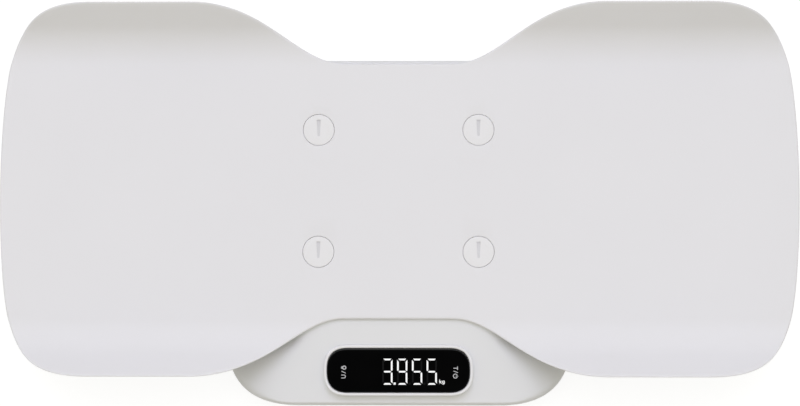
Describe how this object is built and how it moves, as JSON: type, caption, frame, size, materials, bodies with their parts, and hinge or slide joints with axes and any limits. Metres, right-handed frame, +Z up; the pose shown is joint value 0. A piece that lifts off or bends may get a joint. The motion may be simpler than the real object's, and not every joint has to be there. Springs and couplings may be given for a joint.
{
  "type": "digital baby weighing scale",
  "caption": "Digital baby weighing scale: a trough-shaped tray held by quarter-turn locks on a low base with an illuminated number display and touch keys.",
  "frame": {"origin": "on the floor under the middle of the whole scale's outline", "axes": "+Z up, +X along the tray to the viewer's right, +Y to the rear, away from the display"},
  "size_m": [0.55, 0.2746, 0.0681],
  "materials": {
    "white_tray": "white ABS plastic, satin, very fine grain",
    "white_housing": "white ABS plastic, satin",
    "bright_white": "bright white ABS plastic, smooth",
    "window_black": "black acrylic, mirror gloss",
    "black_plastic": "black moulded plastic",
    "connector_cream": "cream nylon",
    "board_green": "green solder mask on glass fibre board",
    "steel": "zinc-plated steel",
    "nickel": "nickel-plated spring steel",
    "rubber": "dark grey rubber",
    "foot_grey": "light grey plastic",
    "battery_jacket": "plain printed metal jacket",
    "wire_grey": "grey vinyl insulation",
    "wire_red": "red vinyl insulation",
    "wire_black": "black vinyl insulation"
  },
  "bodies": {
    "base": {"base_upper_cover": "white_housing", "base_lower_cover": "white_housing", "display_bezel": "bright_white", "display_window": "window_black", "led_digit_module": "black_plastic", "touch_spring_unit_key": "nickel", "touch_spring_power_key": "nickel", "circuit_board": "board_green", "controller_chip": "black_plastic", "weighing_converter_chip": "black_plastic", "load_cell_connector": "connector_cream", "battery_connector": "connector_cream", "board_screw_left": "steel", "board_screw_right": "steel", "battery_1": "battery_jacket", "battery_2": "battery_jacket", "battery_3": "battery_jacket", "battery_4": "battery_jacket", "battery_contact_rear_left": "nickel", "battery_contact_rear_right": "nickel", "battery_contact_front_middle": "nickel", "battery_contact_negative": "nickel", "battery_contact_positive": "nickel", "load_cell_rear_left": "steel", "foot_rear_left": "foot_grey", "foot_pad_rear_left": "rubber", "load_cell_wire_rear_left": "wire_grey", "load_cell_rear_right": "steel", "foot_rear_right": "foot_grey", "foot_pad_rear_right": "rubber", "load_cell_wire_rear_right": "wire_grey", "load_cell_front_left": "steel", "foot_front_left": "foot_grey", "foot_pad_front_left": "rubber", "load_cell_wire_front_left": "wire_grey", "load_cell_front_right": "steel", "foot_front_right": "foot_grey", "foot_pad_front_right": "rubber", "load_cell_wire_front_right": "wire_grey", "battery_wire_red": "wire_red", "battery_wire_black": "wire_black", "case_screw_rear_left": "steel", "case_screw_rear_right": "steel", "case_screw_middle_left": "steel", "case_screw_middle_right": "steel", "case_screw_front_left": "steel", "case_screw_front_right": "steel"},
    "lock_rear_left": {"tray_lock_rear_left": "bright_white"},
    "lock_rear_right": {"tray_lock_rear_right": "bright_white"},
    "lock_front_left": {"tray_lock_front_left": "bright_white"},
    "lock_front_right": {"tray_lock_front_right": "bright_white"},
    "door": {"battery_door": "white_housing"},
    "tray": {"tray": "white_tray"}
  },
  "joints": [
    {"name": "tray_lift", "type": "slide", "parent": "base", "child": "tray", "axis": [0, 0, 1], "range_m": [0, 0.04]},
    {"name": "lock_turn_rear_left", "type": "hinge", "parent": "tray", "child": "lock_rear_left", "pos_m": [-0.055, 0.0522, 0.0393], "axis": [0, 0, 1], "range_deg": [0, 90]},
    {"name": "lock_turn_rear_right", "type": "hinge", "parent": "tray", "child": "lock_rear_right", "pos_m": [0.055, 0.0522, 0.0393], "axis": [0, 0, 1], "range_deg": [0, 90]},
    {"name": "lock_turn_front_left", "type": "hinge", "parent": "tray", "child": "lock_front_left", "pos_m": [-0.055, -0.0318, 0.0393], "axis": [0, 0, 1], "range_deg": [0, 90]},
    {"name": "lock_turn_front_right", "type": "hinge", "parent": "tray", "child": "lock_front_right", "pos_m": [0.055, -0.0318, 0.0393], "axis": [0, 0, 1], "range_deg": [0, 90]},
    {"name": "battery_door_swing", "type": "hinge", "parent": "base", "child": "door", "pos_m": [0, 0.0068, 0.0061], "axis": [-1, 0, 0], "range_deg": [0, 80]}
  ]
}
